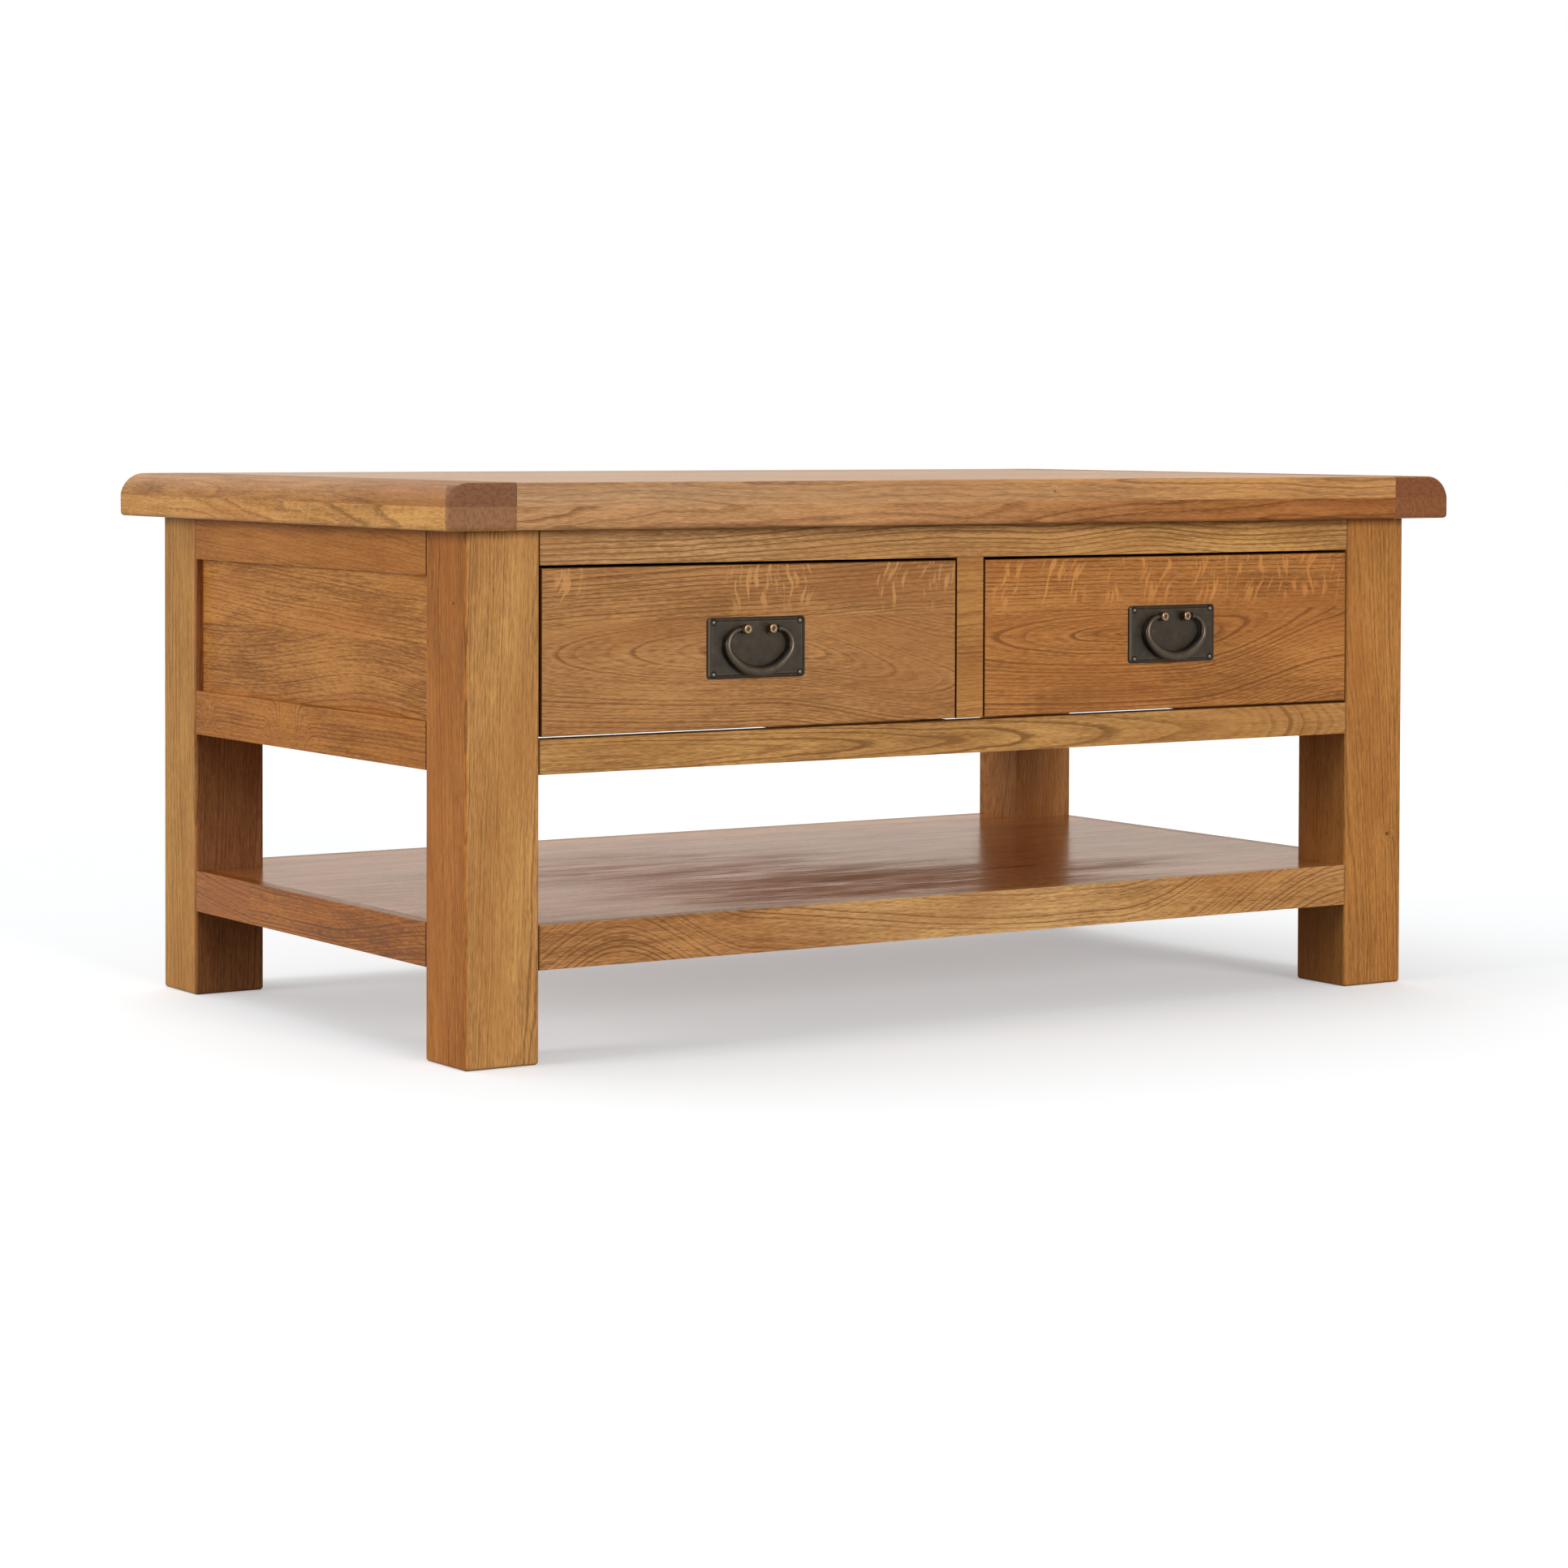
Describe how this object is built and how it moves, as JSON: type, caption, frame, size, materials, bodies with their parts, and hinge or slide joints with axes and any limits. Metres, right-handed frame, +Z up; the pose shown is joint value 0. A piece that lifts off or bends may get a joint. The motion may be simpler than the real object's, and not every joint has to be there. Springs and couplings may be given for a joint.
{
  "type": "coffee table with drawers",
  "caption": "Oak coffee table with inset drawers on drop-bail handles, square legs, recessed end panels, a thick top with rounded ends and a low open shelf.",
  "frame": {"origin": "on the floor under the middle of the table", "axes": "+X along the table to the right, -Y out of the drawer fronts, +Z up"},
  "size_m": [1.006, 0.6, 0.45],
  "materials": {
    "oak": "satin lacquered oak",
    "oak_end": "satin lacquered oak with end grain to the front",
    "drawer_wood": "pale unstained wood",
    "dark_bronze": "dark antique bronze",
    "aged_brass": "aged brass, rubbed bright on the heads",
    "zinc_steel": "zinc plated"
  },
  "bodies": {
    "table_frame": {"back_bottom_rail": "oak", "back_panel": "oak", "back_top_rail": "oak", "centre_bearer": "oak", "centre_partition": "oak", "centre_runners": "drawer_wood", "front_bottom_rail": "oak", "front_muntin": "oak", "front_top_rail": "oak", "left_bottom_rail": "oak", "left_panel": "oak", "left_runner": "drawer_wood", "left_top_rail": "oak", "leg_back_left": "oak", "leg_back_right": "oak", "leg_front_left": "oak", "leg_front_right": "oak", "right_bottom_rail": "oak", "right_panel": "oak", "right_runner": "drawer_wood", "right_top_rail": "oak", "shelf_board_1": "oak", "shelf_board_2": "oak", "shelf_board_3": "oak", "shelf_rail_back": "oak", "shelf_rail_front": "oak", "shelf_rail_left": "oak", "shelf_rail_right": "oak", "top_blocks": "drawer_wood", "top_end_board_left": "oak_end", "top_end_board_right": "oak_end", "top_plank_1": "oak", "top_plank_2": "oak", "top_plank_3": "oak", "top_plank_4": "oak", "top_screws": "zinc_steel", "top_strip_back": "oak", "top_strip_front": "oak", "top_strip_left": "oak_end", "top_strip_right": "oak_end"},
    "left_drawer": {"left_drawer_back": "drawer_wood", "left_drawer_bottom": "drawer_wood", "left_drawer_front": "oak", "left_drawer_handle_nuts": "zinc_steel", "left_drawer_handle_pins": "dark_bronze", "left_drawer_handle_plate": "dark_bronze", "left_drawer_handle_posts": "aged_brass", "left_drawer_side_left": "drawer_wood", "left_drawer_side_right": "drawer_wood"},
    "right_drawer": {"right_drawer_back": "drawer_wood", "right_drawer_bottom": "drawer_wood", "right_drawer_front": "oak", "right_drawer_handle_nuts": "zinc_steel", "right_drawer_handle_pins": "dark_bronze", "right_drawer_handle_plate": "dark_bronze", "right_drawer_handle_posts": "aged_brass", "right_drawer_side_left": "drawer_wood", "right_drawer_side_right": "drawer_wood"},
    "left_handle_bail": {"left_bail": "dark_bronze"},
    "right_handle_bail": {"right_bail": "dark_bronze"}
  },
  "joints": [
    {"name": "left_drawer_slide", "type": "slide", "parent": "table_frame", "child": "left_drawer", "axis": [0, -1, 0], "range_m": [0, 0.32]},
    {"name": "right_drawer_slide", "type": "slide", "parent": "table_frame", "child": "right_drawer", "axis": [0, -1, 0], "range_m": [0, 0.32]},
    {"name": "left_bail_swing", "type": "hinge", "parent": "left_drawer", "child": "left_handle_bail", "pos_m": [-0.21013, -0.2825, 0.33215], "axis": [-1, 0, 0], "range_deg": [0, 180]},
    {"name": "right_bail_swing", "type": "hinge", "parent": "right_drawer", "child": "right_handle_bail", "pos_m": [0.21013, -0.2825, 0.33215], "axis": [-1, 0, 0], "range_deg": [0, 180]}
  ]
}
